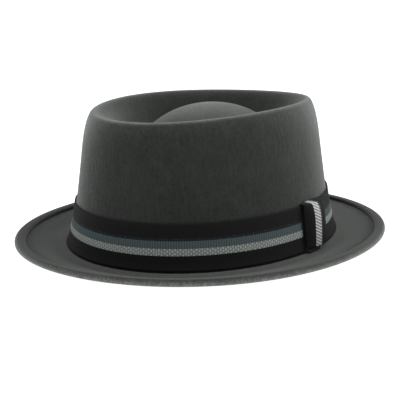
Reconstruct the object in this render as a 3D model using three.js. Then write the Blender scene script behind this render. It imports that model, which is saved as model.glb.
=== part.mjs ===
// A porkpie hat: one blocked felt body, a striped ribbon round the crown and its bow at the left side.
// Millimetres, +Z up. The front of the hat faces -Y and the wearer's left is +X.
// The origin is under the middle of the hat, on the surface that the brim rests on.

import * as THREE from 'three';

// Felt body
const HEAD_LENGTH = 200;
const HEAD_WIDTH = 172;
const FELT = 2.2;
const CROWN_HEIGHT = 90;
const CREST_LENGTH = 174;
const CREST_WIDTH = 134;
const CREST_SHIFT = 2.5;
const CREST_TILT = 0.4;
const CREST_LEAN = 0.8;
const CREST_SADDLE = 1.5;
const GUTTER_LENGTH = 114;
const GUTTER_WIDTH = 99;
const GUTTER_SHIFT = 10;
const GUTTER_DEPTH = 24;
const TIP_HEIGHT = 23;

// Brim
const BRIM_LENGTH = 277;
const BRIM_WIDTH = 246;
const BRIM_FULLNESS = 1.2;
const EDGE_LIFT = 2.1;
const EDGE_TILT = 2.1;
const WELT_WIDTH = 7;

// Ribbon and bow
const RIBBON_WIDTH = 29;
const RIBBON_THICKNESS = 0.8;
const RIBBON_FOOT = 0.7;
const CLEARANCE = 0.3;
const BOW_ANGLE = THREE.MathUtils.degToRad(88.5);
const BOW_LEAN = 4;
const KEEPER_WIDTH = 22;
const KEEPER_THICKNESS = 1;
const KEEPER_PUFF = 5.6;
const KEEPER_OVERHANG = 0.6;
const UNDERLAY_WIDTH = 13;
const UNDERLAY_SHIFT = -5;
const UNDERLAY_FLARE = 3;

// Number of points round each ring
const AROUND = 64;

// From the middle of the tip out to the bottom of the gutter.
// reach is a share of the gutter's oval, height a share of the tip's height.
const TIP_ROWS = [
  { reach: 0.0, height: 1.0 },
  { reach: 0.2, height: 0.97 },
  { reach: 0.42, height: 0.85 },
  { reach: 0.62, height: 0.65 },
  { reach: 0.8, height: 0.36 },
  { reach: 0.92, height: 0.1 },
  { reach: 1.0, height: 0.0 },
];

// From the gutter up to the crest.
// reach is the share of the way out to the crest's oval, height a share of the gutter's depth.
const LIP_ROWS = [
  { reach: 0.18, height: 0.05 },
  { reach: 0.36, height: 0.26 },
  { reach: 0.52, height: 0.56 },
  { reach: 0.7, height: 0.85 },
  { reach: 0.85, height: 0.97 },
  { reach: 1.0, height: 1.0 },
];

// From the crest down the wall to its foot at the brim.
// out is the share of the way from the crest's oval to the wall's foot, height a share of the crown's height.
const WALL_ROWS = [
  { out: 0.095, height: 0.988 },
  { out: 0.178, height: 0.958 },
  { out: 0.265, height: 0.908 },
  { out: 0.37, height: 0.81 },
  { out: 0.505, height: 0.6 },
  { out: 0.69, height: 0.32 },
  { out: 0.85, height: 0.14 },
  { out: 0.96, height: 0.045 },
];

// From the wall's foot over the brim to the foot of the welt.
// out is the share of the way, lift a share of the edge's lift over the flat part.
const BRIM_ROWS = [
  { out: 0.05, lift: 0.0 },
  { out: 0.11, lift: 0.0 },
  { out: 0.29, lift: 0.0 },
  { out: 0.36, lift: 0.0 },
  { out: 0.52, lift: 0.22 },
  { out: 0.76, lift: 0.7 },
  { out: 1.0, lift: 1.0 },
];

// Section of the welt, from its foot on the brim to the top of its edge, in shares of the felt's thickness.
const WELT_STEP = [
  { out: 0.0, up: 0.35 },
  { out: 0.25, up: 0.85 },
  { out: 0.7, up: 1.0 },
];
const EDGE_ARC_STEPS = 6;

// Heights of the ribbon's rings, as shares of its width
const RIBBON_ROWS = [0, 0.06, 0.16, 0.4, 0.7, 1];

// Section of the keeper's hook over the ribbon's top edge, from the felt outwards.
// reach is a share of the way out to the keeper's face, rise a share of the overhang, puff of the keeper's puff.
const HOOK_ROWS = [
  { reach: 0.0, rise: 1.0, puff: 0.0 },
  { reach: 0.6, rise: 0.95, puff: 0.2 },
  { reach: 1.0, rise: 0.5, puff: 0.55 },
];

// The keeper's face, from top to bottom. down is a share of the ribbon's width.
const FACE_ROWS = [
  { down: 0.05, puff: 0.8 },
  { down: 0.14, puff: 0.93 },
  { down: 0.25, puff: 1.0 },
  { down: 0.45, puff: 0.96 },
  { down: 0.65, puff: 0.86 },
  { down: 0.85, puff: 0.72 },
  { down: 0.94, puff: 0.6 },
];

// Rows of the underlay, from top to bottom. Its lower end turns out over the brim.
// down is a share of the ribbon's width from its top edge, flare a share of the underlay's flare.
const UNDERLAY_ROWS = [
  { down: 0.15, flare: 0.0 },
  { down: 0.6, flare: 0.0 },
  { down: 0.86, flare: 0.0 },
  { down: 0.96, flare: 0.3 },
  { down: 1.0, flare: 1.0 },
];

// Section across the bow's strips, from the front edge to the back edge, with a crease towards the back.
// across is a share of half the strip's width, swell a share of its puff.
const STRIP_SECTION = [
  { across: -1.0, swell: 0.08 },
  { across: -0.75, swell: 0.5 },
  { across: -0.43, swell: 0.78 },
  { across: -0.2, swell: 0.93 },
  { across: 0.05, swell: 1.0 },
  { across: 0.25, swell: 0.84 },
  { across: 0.44, swell: 0.72 },
  { across: 0.7, swell: 0.7 },
  { across: 1.0, swell: 0.68 },
];

// Where the sections of the crown stand
const brimTop = FELT;
const crestTop = brimTop + CROWN_HEIGHT;
const gutterTop = crestTop - GUTTER_DEPTH;
const footLength = HEAD_LENGTH + 2 * FELT;
const footWidth = HEAD_WIDTH + 2 * FELT;

/** Point of an oval seen from above. turn 0 is the front and a quarter turn is the wearer's left. */
function ovalPoint(length, width, turn, middle = 0) {
  return new THREE.Vector3((width / 2) * Math.sin(turn), middle - (length / 2) * Math.cos(turn), 0);
}

/** Point a share of the way between two others, at its own height. */
function between(start, end, share, height) {
  return start.clone().lerp(end, share).setZ(height);
}

/** How far the crest stands over its mean height: tilted, leaning and lower at both ends than at the sides. */
function crestLift(turn) {
  return CREST_TILT * Math.cos(turn) + CREST_LEAN * Math.sin(turn) - CREST_SADDLE * Math.cos(2 * turn);
}

/** How far the brim's edge stands over the flat part of the brim. */
function edgeLift(turn) {
  return EDGE_LIFT + EDGE_TILT * Math.cos(turn);
}

/** Control points of the upper surface of the felt at one turn, from the middle of the tip to the welt. */
function meridianPoints(turn) {
  const middle = ovalPoint(0, 0, turn, GUTTER_SHIFT);
  const gutter = ovalPoint(GUTTER_LENGTH, GUTTER_WIDTH, turn, GUTTER_SHIFT);
  const crest = ovalPoint(CREST_LENGTH, CREST_WIDTH, turn, CREST_SHIFT);
  const foot = ovalPoint(footLength, footWidth, turn);
  const lipHeight = GUTTER_DEPTH + crestLift(turn);
  const wallHeight = CROWN_HEIGHT + crestLift(turn);
  const fullness = BRIM_FULLNESS * (1 - Math.cos(4 * turn));
  const inset = 2 * WELT_WIDTH - fullness;
  const welt = ovalPoint(BRIM_LENGTH - inset, BRIM_WIDTH - inset, turn);
  return [
    ...TIP_ROWS.map((row) => between(middle, gutter, row.reach, gutterTop + TIP_HEIGHT * row.height)),
    ...LIP_ROWS.map((row) => between(gutter, crest, row.reach, gutterTop + lipHeight * row.height)),
    ...WALL_ROWS.map((row) => between(crest, foot, row.out, brimTop + wallHeight * row.height)),
    ...BRIM_ROWS.map((row) => between(foot, welt, row.out, brimTop + edgeLift(turn) * row.lift)),
  ];
}

const ROWS = TIP_ROWS.length + LIP_ROWS.length + WALL_ROWS.length + BRIM_ROWS.length;
const CREST_ROW = TIP_ROWS.length + LIP_ROWS.length - 1;
const FOOT_ROW = CREST_ROW + WALL_ROWS.length;
const SHOULDER_ROW = CREST_ROW + 4;

/** True for the rows from the tip's edge to the shoulder and for those at the wall's foot. */
function isTight(row) {
  const lip = row > TIP_ROWS.length - 3 && row < SHOULDER_ROW;
  const foot = row >= FOOT_ROW - 1 && row <= FOOT_ROW;
  return lip || foot;
}

/** Smooth curve through the rows at one turn. It starts one row before the tip, so the tip is level. */
function meridian(turn) {
  const points = meridianPoints(turn);
  points.unshift(meridianPoints(turn + Math.PI)[1]);
  return new THREE.CatmullRomCurve3(points, false, 'centripetal');
}

/** Point of a meridian at a row number, which may lie between two rows. */
function pointAtRow(curve, row) {
  return curve.getPoint((row + 1) / ROWS);
}

/** Upward normal of the felt's upper surface at a turn and a row. */
function surfaceNormal(turn, row) {
  const step = 0.001;
  const ahead = pointAtRow(meridian(turn + step), row);
  const behind = pointAtRow(meridian(turn - step), row);
  const curve = meridian(turn);
  const outer = pointAtRow(curve, Math.min(row + step, ROWS - 1));
  const inner = pointAtRow(curve, row - step);
  return new THREE.Vector3().crossVectors(outer.sub(inner), ahead.sub(behind)).normalize();
}

/** Triangles between two rings of points, given the index of each ring's first point and its length. */
function ringFaces(start, startLength, next, nextLength) {
  const faces = [];
  const count = Math.max(startLength, nextLength);
  for (let j = 0; j < count; j += 1) {
    const k = (j + 1) % count;
    const a = start + (startLength > 1 ? j : 0);
    const b = start + (startLength > 1 ? k : 0);
    const c = next + (nextLength > 1 ? k : 0);
    const d = next + (nextLength > 1 ? j : 0);
    if (a !== b) faces.push(a, c, b);
    if (c !== d) faces.push(a, d, c);
  }
  return faces;
}

/** Triangles that close the end of a strip, whose ring runs out along one face and back along the other. */
function stripEnd(start, count, isFirst) {
  const faces = [];
  for (let j = 0; j < count / 2 - 1; j += 1) {
    const [p, q] = [start + j, start + j + 1];
    const [r, s] = [start + count - 2 - j, start + count - 1 - j];
    if (isFirst) faces.push(p, q, r, p, r, s);
    else faces.push(p, r, q, p, s, r);
  }
  return faces;
}

/** Geometry from rings of points. ends is 'poles' for one-point ends, 'loop' for a torus or 'strip'. */
function ringBody(rings, ends) {
  const starts = [];
  let total = 0;
  rings.forEach((ring) => {
    starts.push(total);
    total += ring.length;
  });
  const indices = [];
  const joins = ends === 'loop' ? rings.length : rings.length - 1;
  for (let i = 0; i < joins; i += 1) {
    const next = (i + 1) % rings.length;
    indices.push(...ringFaces(starts[i], rings[i].length, starts[next], rings[next].length));
  }
  if (ends === 'strip') {
    const last = rings.length - 1;
    indices.push(...stripEnd(starts[0], rings[0].length, true));
    indices.push(...stripEnd(starts[last], rings[last].length, false));
  }
  const geometry = new THREE.BufferGeometry();
  geometry.setFromPoints(rings.flat());
  geometry.setIndex(indices);
  return geometry;
}

/** Evenly spaced turns, one for each point of a ring. */
function turns() {
  return Array.from({ length: AROUND }, (_, index) => (index / AROUND) * 2 * Math.PI);
}

/** Ring of the felt's upper surface at a row, sunk by a depth along its normal. */
function feltRing(row, depth = 0) {
  return turns().map((turn) => {
    const point = pointAtRow(meridian(turn), row);
    return depth > 0 ? point.addScaledVector(surfaceNormal(turn, row), -depth) : point;
  });
}

/** Ring of the welt: out and up are lengths from the welt's foot, along the brim and square to it. */
function weltRing(out, up) {
  const last = ROWS - 1;
  return turns().map((turn) => {
    const curve = meridian(turn);
    const normal = surfaceNormal(turn, last);
    const foot = pointAtRow(curve, last);
    const along = foot.clone().sub(ovalPoint(footLength, footWidth, turn).setZ(foot.z)).normalize();
    along.addScaledVector(normal, -along.dot(normal)).normalize();
    return foot.addScaledVector(along, out).addScaledVector(normal, up);
  });
}

/** The felt body: tip, gutter, crest, wall and brim in one shell, with the edge folded back as a welt. */
function feltBody() {
  const last = ROWS - 1;
  const top = [[pointAtRow(meridian(0), 0)]];
  for (let row = 1; row <= last; row += 1) {
    top.push(feltRing(row));
    if (isTight(row)) top.push(feltRing(row + 0.5));
  }
  const welt = WELT_STEP.map((row) => weltRing(row.out * FELT, row.up * FELT));
  const centre = WELT_WIDTH - FELT;
  for (let step = 0; step <= EDGE_ARC_STEPS; step += 1) {
    const angle = Math.PI / 2 - (step / EDGE_ARC_STEPS) * Math.PI;
    welt.push(weltRing(centre + FELT * Math.cos(angle), FELT * Math.sin(angle)));
  }
  const inside = [];
  for (let row = last; row > 0; row -= 1) {
    inside.push(feltRing(row, FELT));
  }
  inside.push([pointAtRow(meridian(0), 0).add(new THREE.Vector3(0, 0, -FELT))]);
  return ringBody([...top, ...welt, ...inside], 'poles');
}

/** Point on the crown's wall at a turn and a height, moved out from the felt by an offset. */
function wallPoint(turn, height, offset) {
  const curve = meridian(turn);
  let upper = CREST_ROW;
  let lower = FOOT_ROW + 2;
  for (let step = 0; step < 30; step += 1) {
    const middle = (upper + lower) / 2;
    if (pointAtRow(curve, middle).z > height) upper = middle;
    else lower = middle;
  }
  const outward = new THREE.Vector3(Math.sin(turn) / footWidth, -Math.cos(turn) / footLength, 0).normalize();
  return pointAtRow(curve, lower).addScaledVector(outward, offset);
}

const ribbonBottom = brimTop + RIBBON_FOOT;
const ribbonTop = ribbonBottom + RIBBON_WIDTH;

/** The ribbon: a closed band that follows the crown's wall. */
function ribbonBand() {
  const ring = (share, offset) => turns().map((turn) => {
    return wallPoint(turn, ribbonBottom + RIBBON_WIDTH * share, offset);
  });
  const outside = RIBBON_ROWS.map((share) => ring(share, CLEARANCE + RIBBON_THICKNESS)).reverse();
  const inside = RIBBON_ROWS.map((share) => ring(share, CLEARANCE));
  return ringBody([...outside, ...inside], 'loop');
}

const feltToUnderlay = CLEARANCE + RIBBON_THICKNESS + CLEARANCE;
const feltToKeeper = feltToUnderlay + RIBBON_THICKNESS + CLEARANCE;

/** Turn from the bow's middle by a length along the wall. The bow's foot leans towards the front. */
function bowTurn(length, height) {
  const speed = Math.hypot((footWidth / 2) * Math.cos(BOW_ANGLE), (footLength / 2) * Math.sin(BOW_ANGLE));
  const lean = BOW_LEAN * ((height - ribbonBottom) / RIBBON_WIDTH - 0.5);
  return BOW_ANGLE + (length + lean) / speed;
}

/** Strip across the band. Each row has a point of the outer and of the inner face and a puff. */
function bowStrip(width, shift, rows) {
  const rings = rows.map((row) => {
    const face = (side, section) => section.map(({ across, swell }) => {
      const turn = bowTurn(shift + (across * width) / 2, side.height);
      return wallPoint(turn, side.height, side.offset + row.puff * swell);
    });
    return [...face(row.outer, STRIP_SECTION), ...face(row.inner, STRIP_SECTION.toReversed())];
  });
  return ringBody(rings, 'strip');
}

/** The keeper: a puffed strip that hooks over the ribbon's top edge and hangs down its face. */
function keeper() {
  const hookFoot = ribbonTop + CLEARANCE;
  const hook = HOOK_ROWS.map((row) => ({
    outer: {
      offset: CLEARANCE + (feltToKeeper + KEEPER_THICKNESS - CLEARANCE) * row.reach,
      height: hookFoot + KEEPER_OVERHANG * row.rise,
    },
    inner: { offset: CLEARANCE + (feltToKeeper - CLEARANCE) * row.reach, height: hookFoot },
    puff: KEEPER_PUFF * row.puff,
  }));
  const face = FACE_ROWS.map((row) => {
    const height = ribbonTop - RIBBON_WIDTH * row.down;
    return {
      outer: { offset: feltToKeeper + KEEPER_THICKNESS, height },
      inner: { offset: feltToKeeper, height },
      puff: KEEPER_PUFF * row.puff,
    };
  });
  return bowStrip(KEEPER_WIDTH, 0, [...hook, ...face]);
}

/** The end of the ribbon that shows under the keeper, between it and the band. */
function underlay() {
  const rows = UNDERLAY_ROWS.map((row) => {
    const height = ribbonTop - RIBBON_WIDTH * row.down;
    const offset = feltToUnderlay + UNDERLAY_FLARE * row.flare;
    const turned = RIBBON_THICKNESS * row.flare;
    return {
      outer: { offset: offset + RIBBON_THICKNESS - turned / 2, height: height + turned },
      inner: { offset, height },
      puff: 0,
    };
  });
  return bowStrip(UNDERLAY_WIDTH, UNDERLAY_SHIFT, rows);
}

/** Named mesh with a finish of its own. */
function piece(name, geometry, color, roughness) {
  const material = new THREE.MeshStandardMaterial({ color, roughness, metalness: 0 });
  const mesh = new THREE.Mesh(geometry, material);
  mesh.name = name;
  return mesh;
}

const hat = new THREE.Group();
hat.add(
  piece('felt_body', feltBody(), 0x4b4e4c, 0.95),
  piece('ribbon_band', ribbonBand(), 0x1a1b1c, 0.7),
  piece('bow_keeper', keeper(), 0x1a1b1c, 0.7),
  piece('bow_underlay', underlay(), 0x1a1b1c, 0.7),
);

export default hat;
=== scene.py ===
"""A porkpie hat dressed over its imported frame: felt body, striped ribbon, bow and tack stitches.

The classes hold lengths in millimetres. Their meshes are in metres, in the frame's own axes:
+Z up, the front of the hat towards -Y and the wearer's left towards +X.
"""
import logging
import math
from dataclasses import dataclass
from enum import Enum
from typing import Optional, Union

import bpy
import numpy as np
from mathutils import Matrix, Vector


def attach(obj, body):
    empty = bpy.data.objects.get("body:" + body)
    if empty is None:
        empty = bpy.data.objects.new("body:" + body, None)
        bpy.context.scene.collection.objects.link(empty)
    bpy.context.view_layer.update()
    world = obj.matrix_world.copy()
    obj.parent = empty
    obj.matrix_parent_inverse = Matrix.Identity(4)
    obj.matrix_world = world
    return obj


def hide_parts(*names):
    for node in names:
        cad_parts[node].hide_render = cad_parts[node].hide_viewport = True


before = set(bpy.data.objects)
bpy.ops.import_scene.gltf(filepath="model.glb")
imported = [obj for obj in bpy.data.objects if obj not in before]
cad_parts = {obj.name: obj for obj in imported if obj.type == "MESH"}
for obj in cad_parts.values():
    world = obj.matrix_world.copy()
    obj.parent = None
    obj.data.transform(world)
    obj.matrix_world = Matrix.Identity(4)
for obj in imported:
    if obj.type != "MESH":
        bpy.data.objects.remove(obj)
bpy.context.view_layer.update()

logging.basicConfig(level=logging.INFO, format="%(message)s")
log = logging.getLogger("porkpie_hat")

MM = 0.001
DECIMETRE = 100.0
TURN = 2.0 * math.pi
BODY = "root"
WHITE = (1.0, 1.0, 1.0)
# Values between which most of a noise lies
SPREAD = (0.3, 0.7)
Colour = tuple[float, float, float]
Place = tuple[float, float, float]
Rows = tuple[tuple[float, ...], ...]
Socket = bpy.types.NodeSocket
Node = bpy.types.Node
Mesh = bpy.types.Mesh
Material = bpy.types.Material
Piece = bpy.types.Object
Array = np.ndarray
Numbers = Union[float, Array]
Settings = dict[str, object]
Amount = Union[float, "Signal"]
Sockets = dict[Union[int, str], object]


class Signal:
    """A number that varies over a surface. Arithmetic on it adds Math nodes to its tree."""

    def __init__(self, book: "NodeBook", socket: Socket) -> None:
        """Wrap one output socket."""
        self.book = book
        self.socket = socket

    def _math(self, operation: str, *terms: Amount) -> "Signal":
        """Add one Math node.

        Args:
            operation: Blender's name of the operation.
            terms: The node's inputs, in order.
        Returns:
            The node's result.
        """
        result = self.book.made("ShaderNodeMath", dict(enumerate(terms)), {"operation": operation})
        return Signal(self.book, result)

    def __add__(self, other: Amount) -> "Signal":
        """Sum."""
        return self._math("ADD", self, other)

    def __sub__(self, other: Amount) -> "Signal":
        """Difference."""
        return self._math("SUBTRACT", self, other)

    def __rsub__(self, other: float) -> "Signal":
        """Difference from a plain number."""
        return self._math("SUBTRACT", other, self)

    def __mul__(self, other: Amount) -> "Signal":
        """Product."""
        return self._math("MULTIPLY", self, other)

    def __truediv__(self, other: Amount) -> "Signal":
        """Quotient."""
        return self._math("DIVIDE", self, other)

    def __abs__(self) -> "Signal":
        """Size without sign."""
        return self._math("ABSOLUTE", self)

    __radd__, __rmul__ = __add__, __mul__

    def wave(self, pitch: Amount) -> "Signal":
        """Cosine that repeats after a pitch."""
        return self._math("COSINE", self * TURN / pitch if isinstance(pitch, Signal) else self * (TURN / pitch))

    def rise(self, low: Amount, high: Amount) -> "Signal":
        """Smooth step.

        Args:
            low: Where it is 0.
            high: Where it is 1.
        Returns:
            The step.
        """
        sockets: Sockets = {"Value": self, "From Min": low, "From Max": high}
        settings = {"interpolation_type": "SMOOTHSTEP"}
        return Signal(self.book, self.book.made("ShaderNodeMapRange", sockets, settings))

    def inside(self, low: float, high: float, soft: float) -> "Signal":
        """1 between two values and 0 outside them, with edges of a given softness."""
        return self.rise(low - soft, low + soft) * (1.0 - self.rise(high - soft, high + soft))


class NodeBook:
    """Adds nodes to one shader or geometry tree."""

    def __init__(self, tree: bpy.types.NodeTree) -> None:
        """Start on a tree."""
        self.tree = tree

    def feed(self, node: Node, sockets: Sockets) -> None:
        """Give a node's sockets their values or links.

        Args:
            node: The node.
            sockets: Numbers, colours, signals or sockets, by the input's place, identifier or name.
        """
        for key, value in sockets.items():
            target = next(one for place, one in enumerate(node.inputs) if key in (place, one.identifier, one.name))
            source = value.socket if isinstance(value, Signal) else value
            if isinstance(source, Socket):
                self.tree.links.new(source, target)
            else:
                target.default_value = source

    def add(self, kind: str, settings: Optional[Settings] = None, sockets: Optional[Sockets] = None) -> Node:
        """Add one node: its settings first, then the values or links of its sockets.

        Args:
            kind: Blender's type of the node.
            settings: The node's own properties.
            sockets: What feed takes.
        Returns:
            The new node.
        """
        node = self.tree.nodes.new(kind)
        for name, value in (settings or {}).items():
            setattr(node, name, value)
        self.feed(node, sockets or {})
        return node

    def made(self, kind: str, sockets: Optional[Sockets] = None, settings: Optional[Settings] = None) -> Socket:
        """First output of a new node."""
        return self.add(kind, settings, sockets).outputs[0]

    def signal(self, node: Node, output: str) -> Signal:
        """Wrap one output of a node."""
        return Signal(self, node.outputs[output])

    def coordinates(self, kind: str) -> Socket:
        """Object or UV coordinates in a material."""
        return self.add("ShaderNodeTexCoord").outputs[kind]

    def scaled(self, vector: Socket, scale: Amount) -> Socket:
        """A vector or a colour times a number."""
        return self.made("ShaderNodeVectorMath", {"Vector": vector, "Scale": scale}, {"operation": "SCALE"})

    def blend(self, factor: Amount, first: Union[Colour, Socket], second: Union[Colour, Socket]) -> Socket:
        """Mix two colours.

        Args:
            factor: Share of the second colour.
            first: Colour at factor 0.
            second: Colour at factor 1.
        Returns:
            The mixed colour's socket.
        """
        sockets: Sockets = {"Factor_Float": factor}
        for key, value in (("A_Color", first), ("B_Color", second)):
            sockets[key] = (*value, 1.0) if isinstance(value, tuple) else value
        mix = self.add("ShaderNodeMix", {"data_type": "RGBA"}, sockets)
        return next(output for output in mix.outputs if output.type == "RGBA")

    def noise(
        self, place: Socket, waves: float, detail: float = 2.0, roughness: float = 0.5, warp: float = 0.0
    ) -> Signal:
        """Noise between 0 and 1.

        Args:
            place: Coordinates.
            waves: Waves for each unit of the coordinates.
            detail: Number of finer layers.
            roughness: Strength of the finer layers.
            warp: Distortion of the coordinates.
        Returns:
            The noise.
        """
        kind = {"Detail": detail, "Roughness": roughness, "Distortion": warp}
        return Signal(self, self.made("ShaderNodeTexNoise", {"Vector": place, "Scale": waves, **kind}))

    def stretch(self, place: Socket, scale: Place) -> Socket:
        """Coordinates scaled by a different amount along each axis."""
        return self.made("ShaderNodeMapping", {"Vector": place, "Scale": scale})

    def bump(self, height: Signal, distance: float, strength: float, normal: Optional[Socket] = None) -> Socket:
        """Normal of a surface with a fine relief.

        Args:
            height: Relief between 0 and 1.
            distance: Depth of the relief in millimetres.
            strength: Share of the relief that shows.
            normal: Relief under this one.
        Returns:
            The normal's socket.
        """
        sockets: Sockets = {"Height": height, "Distance": distance * MM, "Strength": strength}
        if normal is not None:
            sockets["Normal"] = normal
        return self.made("ShaderNodeBump", sockets)


@dataclass(frozen=True)
class ClothShader:
    """Numbers of a cloth that are the same all over it."""

    name: str
    sheen: float
    sheen_roughness: float
    sheen_tint: Colour
    specular: float

    def start(self) -> tuple[Material, NodeBook, Node]:
        """Make an empty material with its Principled shader.

        Returns:
            The material, its node book and its Principled node.
        """
        material = bpy.data.materials.new(self.name)
        material.use_nodes = True
        material.node_tree.nodes.clear()
        book = NodeBook(material.node_tree)
        sockets = {
            "Sheen Weight": self.sheen,
            "Sheen Roughness": self.sheen_roughness,
            "Sheen Tint": (*self.sheen_tint, 1.0),
            "Specular IOR Level": self.specular,
        }
        shader = book.add("ShaderNodeBsdfPrincipled", None, sockets)
        book.add("ShaderNodeOutputMaterial", None, {"Surface": shader.outputs[0]})
        return material, book, shader


@dataclass(frozen=True)
class WoolFelt:
    """Charcoal wool felt with a short brushed nap: worn and painted lighter as highlights along its folds and
    edge, with painted light and shade over its parts.

    The mesh gives attributes for wear with painted highlights, for the wall, and for painted light and shade, and
    a UV map in decimetres.
    """

    cloth: ClothShader = ClothShader("charcoal_wool_felt", 0.38, 0.42, (0.87, 0.905, 0.875), 0.12)
    deep: Colour = (0.0185, 0.0203, 0.0186)
    shade: Colour = (0.0405, 0.044, 0.0405)
    fibre: Colour = (0.10, 0.104, 0.098)
    # Colour of worn felt, also of the painted highlights
    worn_and_highlight: Colour = (0.13, 0.135, 0.128)
    roughness: float = 0.95
    # Waves in each metre
    cloud_waves: float = 28.0
    patch_waves: float = 100.0
    pit_waves: float = 430.0
    hair_waves: float = 480.0
    fleck_waves: float = 620.0
    nap_waves: float = 1500.0
    # Waves in each decimetre round the wall and down it
    brushed_waves: Place = (46.0, 9.0, 1.0)
    hair_curl: float = 1.6
    hair_width: float = 0.16
    pit_span: tuple[float, float] = (0.63, 0.72)
    speck_span: tuple[float, float] = (0.42, 0.62)
    # How far pits and patches darken the felt
    pit_shade: float = 0.22
    patch_shade: float = 0.18

    def material(self) -> Material:
        """Make the felt's material.

        Returns:
            The material.
        """
        material, book, shader = self.cloth.start()
        place = book.coordinates("Object")
        # Attributes of wear with painted highlights, of the wall, and of painted light and shade
        worn_and_highlight, wall, painted_light = (
            book.signal(book.add("ShaderNodeAttribute", {"attribute_name": name}), "Fac")
            for name in ("worn_and_highlight", "wall", "painted_light")
        )
        cloud = book.noise(place, self.cloud_waves, 3.0, 0.55).rise(*SPREAD)
        fleck = book.noise(place, self.fleck_waves, 2.0, 0.6)
        curl = abs(book.noise(place, self.hair_waves, 3.0, 0.6, self.hair_curl) * 2.0 - 1.0)
        hair = 1.0 - curl.rise(0.0, self.hair_width)
        brushed = book.noise(book.stretch(book.coordinates("UV"), self.brushed_waves), 1.0, 3.0, 0.65)
        streak = brushed.rise(*SPREAD) * wall
        pit = book.noise(place, self.pit_waves, 1.0).rise(*self.pit_span)
        patch = book.noise(place, self.patch_waves, 4.0, 0.65).rise(*SPREAD)
        nap = book.noise(place, self.nap_waves, 2.0, 0.6)
        colour = book.blend(cloud * 0.2 + fleck * 0.4 + streak * 0.4, self.deep, self.shade)
        colour = book.blend(hair * (0.06 + 0.16 * fleck), colour, self.fibre)
        # Lighter where worn, and where a highlight is painted on crest, tip and rim
        colour = book.blend(worn_and_highlight * (0.42 + 0.42 * fleck.rise(*self.speck_span)), colour, self.worn_and_highlight)
        patched = 1.0 - self.patch_shade / 2 + patch * self.patch_shade
        # Painted light and shade by region, times the darker pits and patches
        colour = book.scaled(colour, painted_light * (1.0 - pit * self.pit_shade) * patched)
        normal = book.bump(fleck * 0.6 + hair * 0.25 + streak * 0.5 - pit * 0.4, 0.25, 0.5)
        normal = book.bump(nap, 0.12, 0.45, normal)
        normal = book.bump(patch, 0.5, 0.1, normal)
        book.feed(shader, {"Base Color": colour, "Normal": normal, "Roughness": self.roughness})
        return material


class Weave(Enum):
    """How the threads of the silver stripe run."""

    DIAMOND = "diamond"
    DIAGONAL = "diagonal"


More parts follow.
